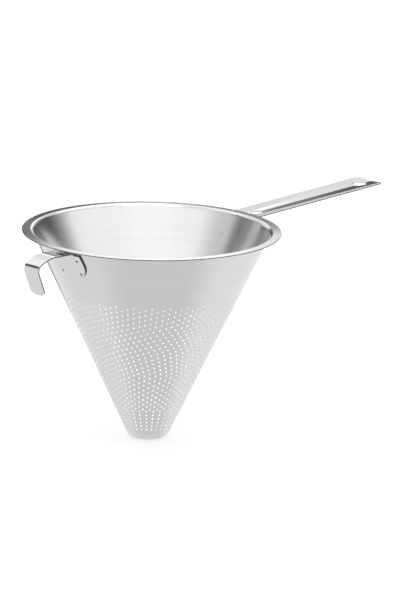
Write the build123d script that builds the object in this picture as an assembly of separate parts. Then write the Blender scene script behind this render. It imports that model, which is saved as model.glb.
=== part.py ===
from build123d import *

import math
import os

os.makedirs("parts", exist_ok=True)

# Conical strainer with a strip handle and a pot hook, in millimetres.
# The origin is the centre of the mouth in the plane of the rim, the cone points down,
# the handle runs along +X and the hook along -X.

# Cone with a blank tip, measured on the outer surface
cone_sheet = 0.8
mouth_radius = 99.5
tip_radius = 15.7
cone_depth = 176.0
tip_bend_radius = 5.5

# Rim turned out at the mouth
rim_width = 8.2
rim_droop_angle = 2.5
lip_bend_radius = 2.0

# Round holes, in rings that start below a plain band
hole_radius = 0.8
plain_band = 49.6
holes_per_ring = 31
first_turn_share = 0.595
ring_stride = 6

# Zones of rings from the top: how many spacings each has
upper_ring_count = 12
second_ring_count = 14
middle_ring_count = 11
fourth_ring_count = 15
lower_ring_count = 5

# Spacing of the rings along the wall in each zone
upper_pitch = 1.72
second_pitch = 1.92
middle_pitch = 2.16
fourth_pitch = 2.53
lower_pitch = 3.89

# Turn from ring to ring in each zone, as a share of one hole spacing
upper_turn_share = -0.341
second_turn_share = -0.388
middle_turn_share = -0.451
fourth_turn_share = -0.525
lower_turn_share = 0.0

ring_zones = (
    (upper_ring_count, upper_pitch, upper_turn_share),
    (second_ring_count, second_pitch, second_turn_share),
    (middle_ring_count, middle_pitch, middle_turn_share),
    (fourth_ring_count, fourth_pitch, fourth_turn_share),
    (lower_ring_count, lower_pitch, lower_turn_share),
)

# Handle: a strip creased to a shallow gutter, bent down to a tab on the wall.
# Its length is measured from the mouth.
handle_sheet = 1.2
handle_length = 155.5
handle_drop = 3.6
handle_tilt_angle = 3.3
handle_half_width = 15.0
handle_corner_radius = 5.0
crease_angle = 6.0
crease_radius = 4.0
handle_bend_radius = 20.0
handle_tab_length = 16.0
handle_tab_half_width = 18.0
handle_tab_corner_radius = 5.0

# Hole for hanging the strainer up, and the relief hole where the crease starts, beyond the rim's edge
hang_hole_radius = 6.2
hang_hole_inset = 13.5
relief_hole_radius = 5.0
relief_hole_gap = 13.3

# Hook: a strip that narrows outward, bent over and down, on a plate that follows the wall
hook_sheet = 1.5
hook_drop = 3.6
hook_half_width = 9.35
hook_leg_half_width = 8.5
hook_flat_length = 24.7
hook_slope_length = 17.4
hook_slope_angle = 24.0
hook_leg_length = 28.1
hook_leg_lean_angle = 22.7
hook_root_bend_radius = 3.5
hook_slope_bend_radius = 30.0
hook_leg_bend_radius = 7.0
hook_tip_radius = 6.0
hook_root_lap = 2.5
hook_plate_length = 24.0
hook_plate_top_half_width = 15.5
hook_plate_half_width = 19.0
hook_plate_corner_radius = 13.0

# Spot welds, two rows of two on each side
weld_radius = 1.1
weld_recess = 0.25
handle_weld_spread = 18.0
handle_weld_inset = 4.5
hook_weld_spread = 21.6
hook_weld_inset = 5.5

# Gap between a welded piece and the wall, and how far a cutting tool overruns
seat_gap = 0.05
overrun = 1.0

rim_radius = mouth_radius + rim_width
handle_reach = mouth_radius + handle_length
relief_hole_reach = rim_radius + relief_hole_gap
wall_tan = (mouth_radius - tip_radius) / cone_depth
cone_half_angle = math.degrees(math.atan(wall_tan))
wall_sin = math.sin(math.radians(cone_half_angle))
wall_cos = math.cos(math.radians(cone_half_angle))
wall_up = Vector(wall_sin, wall_cos)
wall_out = Vector(wall_cos, -wall_sin)


def wall_radius(height):
    """Outer radius of the wall at a height, which is negative below the rim plane."""
    return mouth_radius + height * wall_tan


def direction(angle):
    """Unit vector at an angle in degrees from the first axis of a plane."""
    return Vector(math.cos(math.radians(angle)), math.sin(math.radians(angle)))


def crossing(point, along, other_point, other_along):
    """Where two lines of one plane cross."""
    apart = other_point - point
    share = apart.cross(other_along).Z / along.cross(other_along).Z
    return point + along * share


def left_of(along):
    """Unit vector a quarter turn to the left."""
    return Vector(-along.Y, along.X)


def set_off(points, distance):
    """Corner points of the line that runs at a distance to the left of a line of points."""
    lefts = [left_of((after - before).normalized()) for before, after in zip(points, points[1:])]
    corners = [points[0] + lefts[0] * distance]
    for point, before, after in zip(points[1:], lefts, lefts[1:]):
        corners.append(point + (before + after) * (distance / (1 + before.dot(after))))
    corners.append(points[-1] + lefts[-1] * distance)
    return corners


def bent_sheet(points, radii, sheet):
    """Side view of a bent sheet in the XZ plane: one face on the points, the other to their left."""
    ahead = [after - before for before, after in zip(points, points[1:])]
    far_radii = []
    for radius, before, after in zip(radii, ahead, ahead[1:]):
        far_radii.append(radius - math.copysign(sheet, before.cross(after).Z))
    near = FilletPolyline(*points, radius=list(radii))
    far = FilletPolyline(*set_off(points, sheet), radius=far_radii)
    outline = near.edges() + far.edges()
    outline += [Edge.make_line(near @ 0, far @ 0), Edge.make_line(near @ 1, far @ 1)]
    return Plane.XZ * Face(Wire(outline))


def wall_plane(height, angle):
    """Plane on the wall's outer surface, with its normal outward."""
    around = direction(angle)
    origin = around * wall_radius(height) + Vector(0, 0, height)
    return Plane(origin=origin, z_dir=around * wall_cos + Vector(0, 0, -wall_sin))


def pin_through(plane, radius, inner, outer):
    """Round pin square to a plane, from a depth inside it to a height outside it."""
    return Solid.make_cylinder(radius, inner + outer, plane.offset(-inner))


def hole_rings():
    """Height of each ring of holes, and its turn as a share of one hole spacing."""
    height = -plain_band
    turn = first_turn_share
    rings = [(height, turn)]
    for count, pitch, turn_share in ring_zones:
        for _ in range(count):
            height -= pitch * wall_cos
            turn += turn_share
            rings.append((height, turn))
    return rings[::ring_stride]


def hole_pins():
    """One pin for each hole of the wall."""
    pins = []
    for height, turn in hole_rings():
        for place in range(holes_per_ring):
            plane = wall_plane(height, 360 / holes_per_ring * (place + turn))
            pins.append(pin_through(plane, hole_radius, cone_sheet + overrun, overrun))
    return pins


def make_cone(weld_pins):
    """The drawn cone with its blank tip, its turned-out rim and its holes, in one sheet."""
    lip = Vector(wall_radius(-cone_sheet), -cone_sheet)
    droop = (rim_radius - lip.X) * math.tan(math.radians(rim_droop_angle))
    points = [
        Vector(0, -cone_depth),
        Vector(tip_radius, -cone_depth),
        lip,
        Vector(rim_radius, lip.Y - droop),
    ]
    section = bent_sheet(points, [tip_bend_radius, lip_bend_radius], cone_sheet)
    cone = Solid.revolve(section, 360, Axis.Z)
    return cone.cut(*hole_pins(), *weld_pins)


def rise(y, wall_share, curve_radius):
    """How far a strip's face has risen at a distance from its middle, from creased to wall-round."""
    slope = math.tan(math.radians(crease_angle))
    flank = crease_radius * math.sin(math.radians(crease_angle))
    flank_rise = crease_radius - math.sqrt(crease_radius ** 2 - flank ** 2)
    if y > flank:
        crease = flank_rise + (y - flank) * slope
    else:
        crease = crease_radius - math.sqrt(crease_radius ** 2 - y ** 2)
    wall = curve_radius - math.sqrt(curve_radius ** 2 - y ** 2)
    return crease * (1 - wall_share) + wall * wall_share


def strip_section(origin, angle, half_width, sheet, wall_share, curve_radius):
    """Cross-section of a strip whose upper face passes through the origin and rises along the angle."""
    up = direction(angle)
    plane = Plane(origin=(origin.X, 0, origin.Y), x_dir=(0, 1, 0), z_dir=(up.Y, 0, -up.X))
    flank = crease_radius * math.sin(math.radians(crease_angle))
    middle = (half_width + flank) / 2

    def point(y, fall):
        return plane.from_local_coords(Vector(y, rise(abs(y), wall_share, curve_radius) - fall))

    edges = []
    for fall in (0, sheet):
        for side in (-1, 1):
            start = point(side * flank, fall)
            end = point(side * half_width, fall)
            if wall_share > 0:
                edges.append(Edge.make_three_point_arc(start, point(side * middle, fall), end))
            else:
                edges.append(Edge.make_line(start, end))
        edges.append(Edge.make_three_point_arc(point(-flank, fall), point(0, fall), point(flank, fall)))
    for side in (-1, 1):
        edges.append(Edge.make_line(point(side * half_width, 0), point(side * half_width, sheet)))
    return Face(Wire(edges))


def plate_cutter(start, start_half_width, length, end_half_width, corner_radius, sheet):
    """Prism square to the wall with a plate's outline, its two lower corners round."""
    plane = Plane(origin=(start.X, 0, start.Y), x_dir=(0, 1, 0), z_dir=(wall_out.X, 0, wall_out.Y))
    top_half_width = start_half_width - (end_half_width - start_half_width) * overrun / length
    left = [(-top_half_width, overrun), (-end_half_width, -length)]
    right = [(end_half_width, -length), (top_half_width, overrun)]
    outline = FilletPolyline(*left, *right, radius=corner_radius)
    face = Face(Wire(outline.edges() + [Edge.make_line(outline @ 1, outline @ 0)]))
    across = Vector(wall_out.X, 0, wall_out.Y)
    return Solid.extrude(plane.offset(-end_half_width) * face, across * (end_half_width + sheet + overrun))


def wall_plate(start, start_half_width, length, end_half_width, corner_radius, sheet):
    """Plate that lies on the wall, from a place on it down along it, with round lower corners."""
    widest = max(start_half_width, end_half_width) + overrun
    sections = []
    for distance in (0, length):
        origin = start - wall_up * distance
        curve_radius = origin.X / wall_cos
        section = strip_section(origin, 180 - cone_half_angle, widest, sheet, 1, curve_radius)
        sections.append(section.outer_wire())
    cutter = plate_cutter(start, start_half_width, length, end_half_width, corner_radius, sheet)
    return Solid.make_loft(sections, ruled=True).intersect(cutter).solids()[0]


def round_corners(solid, radius, sheet, reach, half_width):
    """Round the two corners that stand at a reach from the axis and a half width from the middle."""
    corners = []
    for edge in solid.edges():
        middle = edge.center()
        near = abs(middle.X - reach) < sheet and abs(abs(middle.Y) - half_width) < sheet / 2
        if near and edge.length < sheet * 2 and edge.geom_type == GeomType.LINE:
            corners.append(edge)
    return solid.fillet(radius, corners)


def handle_frame():
    """Where the handle's upper face leaves the wall, where it runs straight, and the middle of that bend."""
    along = direction(handle_tilt_angle)
    below = left_of(along) * -1
    seat = Vector(wall_radius(0), 0) + wall_out * seat_gap
    corner = crossing(seat, wall_up, Vector(mouth_radius, -handle_drop), along)
    middle = corner + (wall_out + below) * (handle_bend_radius / (1 + wall_out.dot(below)))
    return middle - wall_out * handle_bend_radius, middle - below * handle_bend_radius, middle


def handle_bend(middle, wall_point):
    """The root of the handle, which turns from the wall's curve into the gutter."""
    curve_radius = wall_point.X / wall_cos
    first_angle = 180 - cone_half_angle
    last_angle = 90 + handle_tilt_angle
    steps = 6
    sections = []
    for step in range(steps + 1):
        share = step / steps
        angle = first_angle + (last_angle - first_angle) * share
        half_width = handle_tab_half_width + (handle_half_width - handle_tab_half_width) * share
        origin = middle + direction(angle) * handle_bend_radius
        section = strip_section(origin, angle, half_width, handle_sheet, 1 - share, curve_radius)
        sections.append(section.outer_wire())
    return Solid.make_loft(sections)


def make_handle(weld_pins):
    """The handle with its tab, bend, gutter and two holes."""
    wall_point, straight_point, middle = handle_frame()
    along = direction(handle_tilt_angle)
    length = (handle_reach - straight_point.X) / along.X
    sizes = (handle_half_width, handle_sheet)
    section = strip_section(straight_point, 90 + handle_tilt_angle, *sizes, 0, mouth_radius)
    gutter = Solid.extrude(section, Vector(along.X, 0, along.Y) * length)
    gutter = round_corners(gutter, handle_corner_radius, handle_sheet, handle_reach, handle_half_width)
    width = handle_tab_half_width
    tab = wall_plate(wall_point, width, handle_tab_length, width, handle_tab_corner_radius, handle_sheet)
    handle = tab.fuse(handle_bend(middle, wall_point), gutter)
    pins = list(weld_pins)
    places = ((handle_reach - hang_hole_inset, hang_hole_radius), (relief_hole_reach, relief_hole_radius))
    for reach, radius in places:
        height = straight_point.Y + (reach - straight_point.X) * along.Y / along.X
        plane = Plane(origin=(reach, 0, height), z_dir=(-along.Y, 0, along.X))
        depth = handle_sheet + overrun
        rim_rise = handle_half_width * math.sin(math.radians(crease_angle))
        pins.append(pin_through(plane, radius, depth, depth + rim_rise))
    return handle.cut(*pins)


def hook_root():
    """Where the hook's upper face would meet the wall."""
    seat = Vector(wall_radius(0), 0) + wall_out * seat_gap
    return crossing(seat, wall_up, Vector(mouth_radius, -hook_drop), Vector(1, 0))


def hook_bend_start():
    """Top of the plate, where the hook's upper face bends away from the wall."""
    turn = math.radians(90 - cone_half_angle)
    return hook_root() - wall_up * (hook_root_bend_radius * math.tan(turn / 2))


def narrowing_cutter(root, shoulder):
    """Upright prism with the hook's plan, which narrows from its root to its shoulder."""
    narrowing = (hook_half_width - hook_leg_half_width) / (shoulder.X - root.X)
    start_reach = root.X - hook_plate_length
    end_reach = shoulder.X + hook_leg_bend_radius
    start_half_width = hook_half_width + narrowing * (root.X - start_reach)
    end_half_width = hook_half_width + narrowing * (root.X - end_reach)
    start_pair = [(start_reach, start_half_width), (start_reach, -start_half_width)]
    end_pair = [(end_reach, -end_half_width), (end_reach, end_half_width)]
    outline = Polyline(*start_pair, *end_pair, close=True)
    height = hook_leg_length + hook_slope_length + hook_plate_length
    return Solid.extrude(Plane.XY.offset(-height) * Face(Wire(outline.edges())), Vector(0, 0, height * 2))


def make_hook_on_x(weld_pins):
    """The hook with its plate, placed on the +X side."""
    root = hook_root()
    plate_top = hook_bend_start()
    crest = root + Vector(hook_flat_length, 0)
    shoulder = crest + direction(-hook_slope_angle) * hook_slope_length
    tip = shoulder + direction(-90 - hook_leg_lean_angle) * hook_leg_length
    points = [tip, shoulder, crest, root, plate_top - wall_up * hook_root_lap]
    radii = [hook_leg_bend_radius, hook_slope_bend_radius, hook_root_bend_radius]
    section = bent_sheet(points, radii, hook_sheet)
    width = (hook_half_width + overrun) * 2
    strip = Solid.extrude(section, Vector(0, width, 0))
    strip = strip.translate((0, width / 2 - strip.bounding_box().max.Y, 0))
    strip = strip.intersect(narrowing_cutter(root, shoulder)).solids()[0]
    strip = round_tip(strip, tip)
    sizes = (hook_plate_top_half_width, hook_plate_length, hook_plate_half_width, hook_plate_corner_radius)
    plate = wall_plate(plate_top, *sizes, hook_sheet)
    return plate.fuse(strip).cut(*weld_pins)


def round_tip(strip, tip):
    """Round the two corners at the free end of the hook."""
    corners = []
    for edge in strip.edges().filter_by(GeomType.LINE):
        middle = edge.center()
        if edge.length < hook_sheet * 2 and (middle - Vector(tip.X, middle.Y, tip.Y)).length < hook_sheet:
            corners.append(edge)
    return strip.fillet(hook_tip_radius, corners)


def weld_places(start, length, inset, spread, middle_angle):
    """Planes on the wall for four welds, in two rows set in from the ends of a welded length."""
    planes = []
    for distance in (inset, length - inset):
        height = (start - wall_up * distance).Y
        angle = math.degrees(math.asin(spread / 2 / wall_radius(height)))
        for side in (-1, 1):
            planes.append(wall_plane(height, middle_angle + side * angle))
    return planes


def weld_nuggets(planes, sheet):
    """The welds themselves, flush inside the wall and sunk a little into the outer sheet."""
    return [pin_through(plane, weld_radius, cone_sheet, seat_gap + sheet - weld_recess) for plane in planes]


def weld_pins(planes):
    """Cutters that make room for the welds in both sheets."""
    depth = cone_sheet + overrun
    return [pin_through(plane, weld_radius, depth, depth + overrun) for plane in planes]


def half_turn(shape):
    """The same shape on the other side of the cone."""
    return shape.rotate(Axis.Z, 180)


def save(name, shape):
    """Write one piece, or one group of like pieces, to its own file."""
    export_step(shape, f"parts/{name}.step")
    print(name, "volume", round(shape.volume, 1))


handle_start = handle_frame()[0]
handle_welds = weld_places(handle_start, handle_tab_length, handle_weld_inset, handle_weld_spread, 0)
hook_welds = weld_places(hook_bend_start(), hook_plate_length, hook_weld_inset, hook_weld_spread, 180)
hook_cutters = [half_turn(pin) for pin in weld_pins(hook_welds)]

save("perforated_cone", make_cone(weld_pins(handle_welds) + weld_pins(hook_welds)))
save("handle", make_handle(weld_pins(handle_welds)))
save("hook", half_turn(make_hook_on_x(hook_cutters)))
save("handle_spot_welds", Compound(weld_nuggets(handle_welds, handle_sheet)))
save("hook_spot_welds", Compound(weld_nuggets(hook_welds, hook_sheet)))
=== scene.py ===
"""Looks of a conical strainer of satin steel: perforated cone, strip handle, pot hook and spot welds."""

import logging
import math
from dataclasses import dataclass, field
from enum import Enum
from typing import Callable, Sequence

import bpy
import numpy as np
from mathutils import Matrix, Vector
from mathutils.geometry import delaunay_2d_cdt


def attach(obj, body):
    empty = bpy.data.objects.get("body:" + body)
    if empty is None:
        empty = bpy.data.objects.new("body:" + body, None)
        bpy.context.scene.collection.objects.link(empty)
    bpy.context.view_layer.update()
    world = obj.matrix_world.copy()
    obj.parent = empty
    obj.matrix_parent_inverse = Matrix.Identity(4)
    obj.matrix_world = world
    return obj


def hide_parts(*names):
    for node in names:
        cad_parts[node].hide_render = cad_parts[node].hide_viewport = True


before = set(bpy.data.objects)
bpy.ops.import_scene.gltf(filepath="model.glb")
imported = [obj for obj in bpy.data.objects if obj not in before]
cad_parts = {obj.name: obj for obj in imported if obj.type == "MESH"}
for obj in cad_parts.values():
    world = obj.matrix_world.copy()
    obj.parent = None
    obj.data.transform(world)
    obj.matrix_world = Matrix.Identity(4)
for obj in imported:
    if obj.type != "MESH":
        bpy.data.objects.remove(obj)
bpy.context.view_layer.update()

MM = 0.001
log = logging.getLogger("strainer")

# A step in millimetres, short enough to read a surface's slope from.
NUDGE = 1e-3
# Circles have this many steps: a hole that shows as one, and a spot weld or its seat.
HOLE_STEPS = 48
WELD_STEPS = 20
LARGEST_WELD_RADIUS = 2.0
# How far the lines that triangles follow run past the sheet, in millimetres.
PAST_EDGE = 2.0
# Radius at which a scratch round the cone has its stated length; nearer the tip it is shorter.
GRAIN_RADIUS = 70.0
SENSOR_WIDTH_MM = 36

Tree = bpy.types.NodeTree
Socket = bpy.types.NodeSocket


def linear(hex_colour: str) -> tuple[float, float, float, float]:
    """Turns an sRGB colour into the linear colour that shaders take.

    Args:
        hex_colour: Six hex digits after a hash, such as "#C9C9C6".

    Returns:
        Red, green, blue and an alpha of one.
    """
    shares = [int(hex_colour[start : start + 2], 16) / 255 for start in (1, 3, 5)]
    red, green, blue = (s / 12.92 if s <= 0.04045 else ((s + 0.055) / 1.055) ** 2.4 for s in shares)
    return red, green, blue, 1.0


def add_node(
    tree: Tree, kind: str, settings: dict | None = None, links: dict | None = None
) -> bpy.types.Node:
    """Adds one shader node.

    Args:
        tree: The node tree of a material or the world.
        kind: The node's type, such as "ShaderNodeTexNoise".
        settings: Values by property name, or by input name or number for sockets.
        links: Output sockets by input name or number.

    Returns:
        The new node.
    """
    node = tree.nodes.new(kind)
    for key, value in (settings or {}).items():
        if isinstance(key, str) and key not in node.inputs and hasattr(node, key):
            setattr(node, key, value)
        else:
            node.inputs[key].default_value = value
    for key, output in (links or {}).items():
        tree.links.new(output, node.inputs[key])
    return node


def add_object(name: str, data: bpy.types.ID) -> bpy.types.Object:
    """Makes an object of a mesh, a lamp or a camera and links it to the scene."""
    thing = bpy.data.objects.new(name, data)
    bpy.context.scene.collection.objects.link(thing)
    return thing


def empty_tree(owner: bpy.types.Material | bpy.types.World) -> Tree:
    """Clears the node tree of a material or the world."""
    owner.use_nodes = True
    owner.node_tree.nodes.clear()
    return owner.node_tree


# Meshes.


@dataclass
class MeshParts:
    """Points, normals, flat coordinates, faces and finishes of one mesh, in millimetres."""

    points: list[np.ndarray] = field(default_factory=list)
    normals: list[np.ndarray] = field(default_factory=list)
    flats: list[np.ndarray] = field(default_factory=list)
    faces: list[np.ndarray] = field(default_factory=list)
    marks: list[int] = field(default_factory=list)
    count: int = 0

    def add_points(self, points: np.ndarray, normals: np.ndarray, flats: np.ndarray) -> np.ndarray:
        """Adds points and returns their indices."""
        self.points.append(points)
        self.normals.append(normals)
        self.flats.append(flats)
        start = self.count
        self.count += len(points)
        return np.arange(start, self.count)

    def add_faces(self, faces: np.ndarray, finish: int = 0) -> None:
        """Adds faces, one row of indices each, with the number of their finish."""
        self.faces.append(np.asarray(faces, int))
        self.marks.extend([finish] * len(faces))

    def add_band(self, one: np.ndarray, other: np.ndarray, finish: int = 0) -> None:
        """Adds the band of faces between two closed rings."""
        self.add_faces(np.stack([one, np.roll(one, -1), np.roll(other, -1), other], axis=1), finish)

    def add_fan(self, ring: np.ndarray, tip: int, finish: int = 0) -> None:
        """Closes a ring with triangles that meet in one point."""
        self.add_faces(np.stack([ring, np.roll(ring, -1), np.full(len(ring), tip)], axis=1), finish)

    def build(self, name: str, finishes: Sequence["SatinSteel"]) -> bpy.types.Object:
        """Makes the mesh object, with every face turned to agree with its points' normals.

        Args:
            name: The piece's name.
            finishes: The finishes, in the order of their numbers.

        Returns:
            The object, dressed and linked to the scene.
        """
        points = np.concatenate(self.points)
        normals = np.concatenate(self.normals)
        normals /= np.linalg.norm(normals, axis=1, keepdims=True)
        flats = np.concatenate(self.flats)
        rows = []
        for faces in self.faces:
            one = points[faces[:, 1]] - points[faces[:, 0]]
            across = np.cross(one, points[faces[:, 2]] - points[faces[:, 0]])
            wrong = (across * normals[faces].sum(axis=1)).sum(axis=1) < 0
            faces = faces.copy()
            faces[wrong] = faces[wrong][:, ::-1]
            rows.extend(faces.tolist())
        mesh = bpy.data.meshes.new(name)
        mesh.from_pydata((points * MM).tolist(), [], rows)
        for finish in finishes:
            mesh.materials.append(finish.build())
        mesh.polygons.foreach_set("material_index", self.marks)
        mesh.shade_smooth()
        corners = np.empty(len(mesh.loops), np.int32)
        mesh.loops.foreach_get("vertex_index", corners)
        layer = mesh.uv_layers.new(name="flat")
        layer.data.foreach_set("uv", (flats[corners] * MM).astype(np.float32).ravel())
        mesh.normals_split_custom_set_from_vertices(normals.tolist())
        return add_object(name, mesh)


def ray_at(angle: float) -> np.ndarray:
    """Unit vector at an angle in radians, in a flat drawing."""
    return np.array([math.cos(angle), math.sin(angle)])


def arc_points(centre: np.ndarray, radius: float, start: float, turn: float, steps: int) -> list[np.ndarray]:
    """Points on an arc, ends included, with its start angle and turn in radians."""
    angles = start + turn * np.linspace(0, 1, steps + 1)
    return [centre + radius * ray_at(angle) for angle in angles]


def rounded(corners: Sequence[tuple], radii: Sequence[float], step_angle: float = 9.0) -> np.ndarray:
    """Rounds the corners of a closed outline.

    Args:
        corners: The corners in order.
        radii: One radius for each corner, zero for a sharp one.
        step_angle: Degrees of turn for each step of an arc.

    Returns:
        The outline's points.
    """
    points: list[np.ndarray] = []
    total = len(corners)
    for index, radius in enumerate(radii):
        before = np.array(corners[index - 1], float)
        here = np.array(corners[index], float)
        after = np.array(corners[(index + 1) % total], float)
        if radius == 0:
            points.append(here)
            continue
        come = (here - before) / np.linalg.norm(here - before)
        leave = (after - here) / np.linalg.norm(after - here)
        turn = math.atan2(come[0] * leave[1] - come[1] * leave[0], float(come @ leave))
        setback = radius * math.tan(abs(turn) / 2)
        side = math.copysign(1, turn)
        left = np.array([-come[1], come[0]]) * side
        centre = here - come * setback + left * radius
        start = math.atan2(-left[1], -left[0])
        steps = max(2, math.ceil(math.degrees(abs(turn)) / step_angle))
        points.extend(arc_points(centre, radius, start, turn, steps))
    return np.array(points)


def inside(points: np.ndarray, outline: np.ndarray) -> np.ndarray:
    """Which points lie inside a closed outline."""
    result = np.zeros(len(points), bool)
    for (x1, y1), (x2, y2) in zip(outline, np.roll(outline, -1, axis=0)):
        if y1 == y2:
            continue
        between = (y1 > points[:, 1]) != (y2 > points[:, 1])
        crossing = x1 + (points[:, 1] - y1) * (x2 - x1) / (y2 - y1)
        result ^= between & (points[:, 0] < crossing)
    return result


def triangulate(loops: Sequence[np.ndarray], guides: Sequence[tuple]) -> tuple[np.ndarray, np.ndarray]:
    """Fills an outline with triangles, leaving its holes open.

    Args:
        loops: The outline, then the holes, each a closed line of points.
        guides: Straight lines that the triangles follow, as pairs of points.

    Returns:
        The flat points, and the triangles as rows of three indices.
    """
    points: list[Vector] = []
    edges: list[tuple[int, int]] = []
    for loop in loops:
        start = len(points)
        points.extend(Vector(point) for point in loop)
        edges.extend((start + i, start + (i + 1) % len(loop)) for i in range(len(loop)))
    for one, other in guides:
        points.extend((Vector(one), Vector(other)))
        edges.append((len(points) - 2, len(points) - 1))
    found, _, faces, _, _, _ = delaunay_2d_cdt(points, edges, [], 0, 1e-6, False)
    flat = np.array([tuple(point) for point in found])
    triangles = np.array([face for face in faces if len(face) == 3])
    middles = flat[triangles].mean(axis=1)
    keep = inside(middles, loops[0])
    for hole in loops[1:]:
        keep &= ~inside(middles, hole)
    triangles = triangles[keep]
    used = np.unique(triangles)
    renumber = np.full(len(flat), -1)
    renumber[used] = np.arange(len(used))
    return flat[used], renumber[triangles]


def open_edges(triangles: np.ndarray) -> np.ndarray:
    """Edges that only one triangle has, each in that triangle's direction."""
    edges = np.concatenate([triangles[:, [0, 1]], triangles[:, [1, 2]], triangles[:, [2, 0]]])
    width = int(triangles.max()) + 1
    forward = edges[:, 0] * width + edges[:, 1]
    backward = edges[:, 1] * width + edges[:, 0]
    return edges[~np.isin(forward, backward)]


def shift_points(points: np.ndarray, loop: np.ndarray, distance: float) -> np.ndarray:
    """Moves a closed line, which runs anticlockwise, inward by a distance."""
    ahead = np.roll(loop, -1, axis=0) - loop
    ahead /= np.linalg.norm(ahead, axis=1, keepdims=True)
    left = np.stack([-ahead[:, 1], ahead[:, 0]], axis=1)
    both = left + np.roll(left, 1, axis=0)
    return points + both * (distance * 2 / (both**2).sum(axis=1, keepdims=True))


def circle(centre: tuple[float, float], radius: float, steps: int) -> np.ndarray:
    """Points round a circle, anticlockwise."""
    angles = np.arange(steps) * 2 * math.pi / steps
    return np.stack([centre[0] + radius * np.cos(angles), centre[1] + radius * np.sin(angles)], axis=1)


# Turns distances along and across a sheet, and depths into it, into places in space.
Place = Callable[[np.ndarray, np.ndarray, np.ndarray], np.ndarray]
# A round hole: its centre and radius.
Hole = tuple[tuple[float, float], float]
# Places of a side view.
Profile = tuple[tuple[float, float], ...]


@dataclass
class PlanSheet:
    """A piece of sheet drawn flat, with round edges, that a bend carries to its place.

    Attributes:
        outline: The sheet's outline, anticlockwise.
        holes: Holes as pairs of centre and radius.
        guides: Lines that the triangles follow.
        place: Gives the place of a flat point at a depth below the upper face.
        sheet: Thickness.
        edge: Radius of the rounded edges.
        dark_until: How far along the sheet its whole edge is painted dark as shadow, with finish number 1.
        thin_until: How far along the sheet the middle of its edge is painted dark as shadow.
        hole_margin: How far round a hole its edge is taken to reach.
    """

    outline: np.ndarray
    holes: Sequence[Hole]
    guides: Sequence[tuple]
    place: Place
    sheet: float
    edge: float
    dark_until: float
    thin_until: float
    hole_margin: float = 0.5

    def face_normals(self, flat: np.ndarray, depth: float) -> np.ndarray:
        """Normals out of the upper face at flat points."""
        depths = np.full(len(flat), depth)
        u, v = flat.T
        along = self.place(u + NUDGE, v, depths) - self.place(u - NUDGE, v, depths)
        across = self.place(u, v + NUDGE, depths) - self.place(u, v - NUDGE, depths)
        normals = np.cross(along, across)
        up = self.place(u, v, depths) - self.place(u, v, depths + NUDGE)
        normals *= np.sign((normals * up).sum(axis=1, keepdims=True))
        return normals / np.linalg.norm(normals, axis=1, keepdims=True)

    def build_into(self, parts: MeshParts) -> None:
        """Adds the sheet's two faces and its rounded edges to a mesh."""
        loops = [shift_points(self.outline, self.outline, self.edge)]
        for centre, radius in self.holes:
            steps = HOLE_STEPS if radius > LARGEST_WELD_RADIUS else WELD_STEPS
            loops.append(circle(centre, radius + self.edge, steps))
        flat, triangles = triangulate(loops, self.guides)
        edges = open_edges(triangles)
        ahead = flat[edges[:, 1]] - flat[edges[:, 0]]
        ahead /= np.linalg.norm(ahead, axis=1, keepdims=True)
        right = np.stack([ahead[:, 1], -ahead[:, 0]], axis=1)
        out = np.zeros_like(flat)
        np.add.at(out, edges[:, 0], right)
        np.add.at(out, edges[:, 1], right)
        border = np.unique(edges)
        out = out[border] / np.linalg.norm(out[border], axis=1, keepdims=True)
        where = np.full(len(flat), -1)
        where[border] = np.arange(len(border))
        rings = []
        for bottom in (False, True):
            depth = self.sheet if bottom else 0.0
            sign = -1 if bottom else 1
            normals = self.face_normals(flat, depth)
            places = self.place(flat[:, 0], flat[:, 1], np.full(len(flat), depth))
            indices = parts.add_points(places, normals * sign, flat)
            parts.add_faces(indices[triangles])
            side_rings = [indices[border]]
            for angle in (math.pi / 4, math.pi / 2):
                moved = flat[border] + out * (self.edge * math.sin(angle))
                fall = self.edge * (1 - math.cos(angle))
                depths = np.full(len(border), self.sheet - fall if bottom else fall)
                here = self.place(moved[:, 0], moved[:, 1], depths)
                further = self.place(*(moved + out * NUDGE).T, depths) - here
                further /= np.linalg.norm(further, axis=1, keepdims=True)
                turned = normals[border] * sign * math.cos(angle) + further * math.sin(angle)
                side_rings.append(parts.add_points(here, turned, moved))
            rings.append(side_rings)
        layers = rings[0] + rings[1][::-1]
        ends = where[edges]
        middles = flat[edges].mean(axis=1)
        outer = self.on_outline(middles)
        # Five bands run over the edge: two round it above, one is its middle and two round it below. The
        # first and the last are never painted dark, so the painted shadow line lies within the edge.
        for number, (upper, lower) in enumerate(zip(layers, layers[1:])):
            start, end = ends.T
            band = np.stack([upper[start], upper[end], lower[end], lower[start]], axis=1)
            dark_until = self.thin_until if number == 2 else self.dark_until
            # The faces of the edge that are painted dark as shadow.
            cut = outer & (middles[:, 0] < dark_until) & (0 < number < 4)
            parts.add_faces(band[cut], 1)
            parts.add_faces(band[~cut])

    def on_outline(self, flat: np.ndarray) -> np.ndarray:
        """Which flat points aren't beside a hole."""
        result = np.ones(len(flat), bool)
        for centre, radius in self.holes:
            result &= np.hypot(*(flat - centre).T) > radius + self.edge + self.hole_margin
        return result


# Shapes shared by the sheets.


def heading(degrees: float) -> np.ndarray:
    """Unit vector at an angle from the radial direction, in a side view."""
    return ray_at(math.radians(degrees))


def crossing(point: np.ndarray, along: np.ndarray, other: np.ndarray, other_along: np.ndarray) -> np.ndarray:
    """Where two lines of one side view cross."""
    apart = other - point
    spread = along[0] * other_along[1] - along[1] * other_along[0]
    return point + along * ((apart[0] * other_along[1] - apart[1] * other_along[0]) / spread)


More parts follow.
